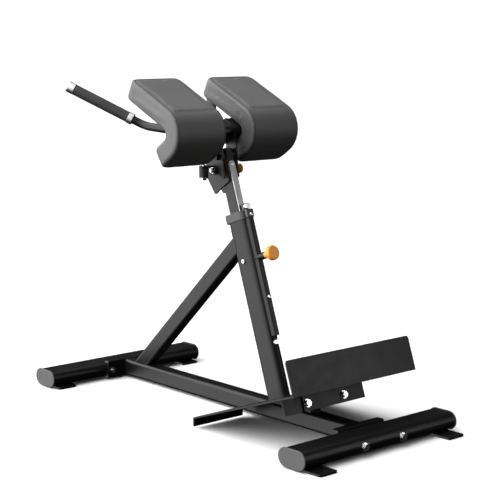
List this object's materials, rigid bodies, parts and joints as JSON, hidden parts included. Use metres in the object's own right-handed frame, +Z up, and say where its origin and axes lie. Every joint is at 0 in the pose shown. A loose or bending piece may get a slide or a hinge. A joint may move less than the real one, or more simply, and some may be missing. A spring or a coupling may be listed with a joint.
{
  "type": "roman chair",
  "caption": "45-degree back-extension bench: leaning post on a beam with two feet, height-sliding tilting thigh pads, flared handles and an angled foot plate",
  "frame": {"origin": "on the floor, on the machine's centre plane, midway along its length", "axes": "+X along the machine towards the foot plate, +Y lateral, +Z up"},
  "size_m": [1.3285, 0.606, 1],
  "materials": {
    "black_frame": "satin black powder coat",
    "pad_vinyl": "dark grey upholstery vinyl with a fine grain",
    "black_plastic": "moulded dark grey plastic",
    "guide_plastic": "moulded nylon, slightly glossy",
    "orange_plastic": "glossy orange moulding",
    "grip_rubber": "ribbed black rubber",
    "chrome_steel": "bright zinc or chrome plate",
    "satin_steel": "satin ground steel strip"
  },
  "bodies": {
    "base_frame": {"diagonal_brace": "black_frame", "foot_bolts": "chrome_steel", "foot_end_caps": "black_plastic", "foot_nuts": "chrome_steel", "foot_plate": "black_frame", "foot_washers": "chrome_steel", "front_floor_tabs": "black_frame", "front_foot_tube": "black_frame", "guide_screws": "chrome_steel", "heel_plate": "black_frame", "height_pin_housing": "chrome_steel", "height_pin_spring": "chrome_steel", "lower_guide_bush": "guide_plastic", "main_beam": "black_frame", "pedestal": "black_frame", "plate_bolts": "chrome_steel", "plate_nuts": "chrome_steel", "plate_wings": "black_frame", "post_tube": "black_frame", "rail_bolts": "chrome_steel", "rail_screws": "chrome_steel", "rear_floor_tabs": "black_frame", "rear_foot_tube": "black_frame", "rear_rail": "black_frame", "rubber_foot_pads": "grip_rubber", "saddle_plates": "black_frame", "support_bracket": "black_frame", "upper_guide_bush": "guide_plastic"},
    "mast": {"mast_tube": "black_frame", "mast_strip": "satin_steel", "strip_rivet": "chrome_steel", "mast_glide": "black_plastic", "mast_top_plug": "black_plastic", "near_sector_plate": "black_frame", "far_sector_plate": "black_frame", "pivot_bush": "chrome_steel"},
    "pad_carriage": {"near_carriage_plate": "black_frame", "far_carriage_plate": "black_frame", "pivot_bolt": "chrome_steel", "pivot_nut": "chrome_steel", "pivot_spacers": "chrome_steel", "tilt_guide_bolt": "chrome_steel", "tilt_pin_housing": "chrome_steel", "tilt_pin_spring": "chrome_steel", "left_pad": "pad_vinyl", "right_pad": "pad_vinyl", "pad_straps": "black_frame", "pad_bolts": "chrome_steel", "handle_bar": "black_frame", "grips": "grip_rubber", "grip_rings": "chrome_steel", "grip_end_caps": "chrome_steel", "side_stop_tab": "black_frame", "side_stop_sleeve": "grip_rubber", "side_stop_bolt": "chrome_steel"},
    "height_pull_pin": {"height_pin": "chrome_steel", "height_knob": "orange_plastic"},
    "tilt_pull_pin": {"tilt_pin": "chrome_steel", "tilt_knob": "orange_plastic"}
  },
  "joints": [
    {"name": "mast_slide", "type": "slide", "parent": "base_frame", "child": "mast", "axis": [-0.3272, 0, 0.9449], "range_m": [-0.05, 0.1]},
    {"name": "pad_tilt", "type": "hinge", "parent": "mast", "child": "pad_carriage", "pos_m": [-0.05577, 0, 0.77227], "axis": [0, 1, 0], "range_deg": [0, 30]},
    {"name": "height_pin_pull", "type": "slide", "parent": "base_frame", "child": "height_pull_pin", "axis": [0.9449, 0, 0.3272], "range_m": [0, 0.012], "stiffness_N_per_m": 1500, "springref_m": -0.01},
    {"name": "tilt_pin_pull", "type": "slide", "parent": "pad_carriage", "child": "tilt_pull_pin", "axis": [0, 1, 0], "range_m": [0, 0.01], "stiffness_N_per_m": 1500, "springref_m": -0.01}
  ]
}
